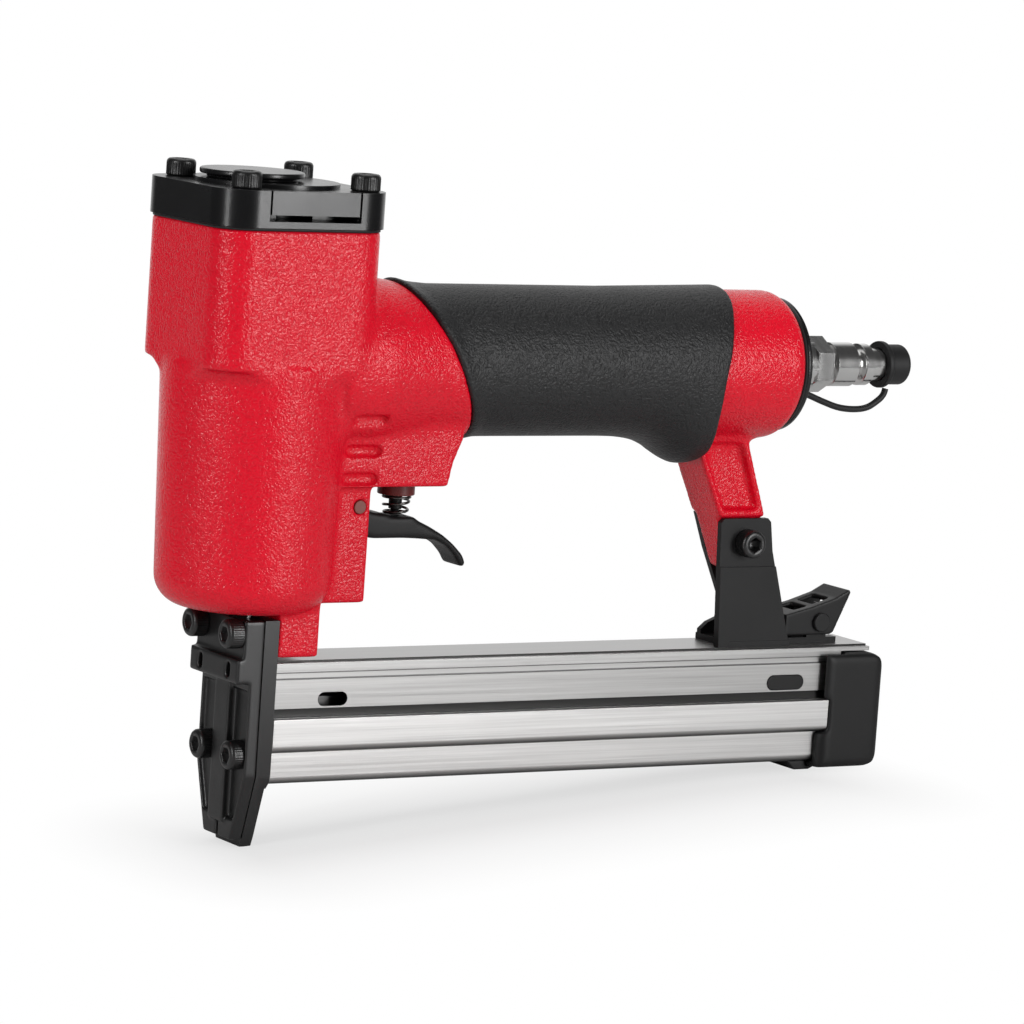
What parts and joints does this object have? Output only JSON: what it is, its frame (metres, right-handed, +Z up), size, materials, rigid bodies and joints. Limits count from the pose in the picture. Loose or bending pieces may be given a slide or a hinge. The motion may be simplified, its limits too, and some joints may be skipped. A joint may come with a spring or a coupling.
{
  "type": "pneumatic upholstery stapler",
  "caption": "Hand-held air stapler with a red cast body, rubber grip, black nose and cap, sliding steel staple magazine, trigger, latch and a plug for an air hose.",
  "frame": {"origin": "nose tip on the drive line, where the staple leaves the tool", "axes": "+X to the rear along the handle and the magazine, +Y to the far side, +Z up the barrel"},
  "size_m": [0.2559, 0.0544, 0.1958],
  "materials": {
    "red_coat": "red wrinkle powder coat on cast aluminium",
    "black_coat": "satin black coat on cast aluminium",
    "gasket": "matte",
    "black_steel": "black oxide",
    "grip_rubber": "fine grained matte rubber",
    "seal_rubber": "matte rubber",
    "alloy": "turned",
    "black_plastic": "moulded, fine grain",
    "valve_plastic": "moulded, red-brown",
    "stainless": "brushed lengthwise",
    "spring_steel": "bright",
    "nickel": "bright nickel"
  },
  "bodies": {
    "tool": {"body_casting": "red_coat", "cap_gasket": "gasket", "top_cap": "black_coat", "exhaust_cover": "black_coat", "cap_bolts": "black_steel", "cylinder_sleeve": "alloy", "cylinder_seals": "seal_rubber", "bumper": "seal_rubber", "head_valve_spring": "spring_steel", "trigger_valve_body": "valve_plastic", "trigger_valve_seals": "seal_rubber", "trigger_pin": "black_steel", "trigger_spring": "spring_steel", "grip_sleeve": "grip_rubber", "inlet_gasket": "gasket", "inlet_cap": "black_coat", "air_plug": "nickel", "tether_ring": "grip_rubber", "cap_tether": "grip_rubber", "nose_front_plate": "black_steel", "nose_rear_plate": "black_steel", "nose_bolts": "black_steel", "upper_rail": "stainless", "side_pads": "black_plastic", "support_bracket": "black_steel", "bracket_bolt": "black_steel", "latch_pin": "black_steel", "latch_spring": "spring_steel"},
    "piston": {"piston": "alloy", "piston_seal": "seal_rubber", "driver_blade": "spring_steel", "driver_pin": "spring_steel"},
    "head_valve": {"head_valve": "black_plastic", "head_valve_seal": "seal_rubber"},
    "trigger": {"trigger": "black_plastic"},
    "valve_stem": {"valve_stem": "black_plastic"},
    "magazine": {"lower_channel": "stainless", "staple_core": "stainless", "pusher_spring": "spring_steel", "spring_rod": "spring_steel", "end_cap": "black_plastic", "rear_foot": "grip_rubber"},
    "pusher": {"pusher": "black_steel"},
    "latch": {"latch_lever": "black_steel"},
    "dust_cap": {"dust_cap": "grip_rubber"}
  },
  "joints": [
    {"name": "piston_stroke", "type": "slide", "parent": "tool", "child": "piston", "axis": [0, 0, -1], "range_m": [0, 0.046]},
    {"name": "head_valve_lift", "type": "slide", "parent": "tool", "child": "head_valve", "axis": [0, 0, 1], "range_m": [0, 0.004], "stiffness_N_per_m": 800, "springref_m": -0.01, "deforming": ["head_valve_spring"]},
    {"name": "trigger_pull", "type": "hinge", "parent": "tool", "child": "trigger", "pos_m": [0.0315, 0, 0.099], "axis": [0, -1, 0], "range_deg": [0, 9], "stiffness_Nm_per_rad": 0.3, "springref_deg": -17.19, "deforming": ["trigger_spring"]},
    {"name": "valve_lift", "type": "slide", "parent": "tool", "child": "valve_stem", "axis": [0, 0, 1], "range_m": [0, 0.003]},
    {"name": "magazine_slide", "type": "slide", "parent": "tool", "child": "magazine", "axis": [1, 0, 0], "range_m": [0, 0.13]},
    {"name": "pusher_travel", "type": "slide", "parent": "magazine", "child": "pusher", "axis": [1, 0, 0], "range_m": [0, 0.15], "stiffness_N_per_m": 40, "springref_m": -0.15, "deforming": ["pusher_spring"]},
    {"name": "latch_press", "type": "hinge", "parent": "tool", "child": "latch", "pos_m": [0.2005, 0, 0.0611], "axis": [0, 1, 0], "range_deg": [0, 10], "stiffness_Nm_per_rad": 0.4, "springref_deg": -17.19, "deforming": ["latch_spring"]},
    {"name": "dust_cap_pull", "type": "slide", "parent": "tool", "child": "dust_cap", "axis": [1, 0, 0], "range_m": [0, 0.0072], "deforming": ["cap_tether"]}
  ],
  "couplings": [
    {"joint": "valve_lift", "follows": "trigger_pull", "m_per_rad": 0.0185}
  ]
}
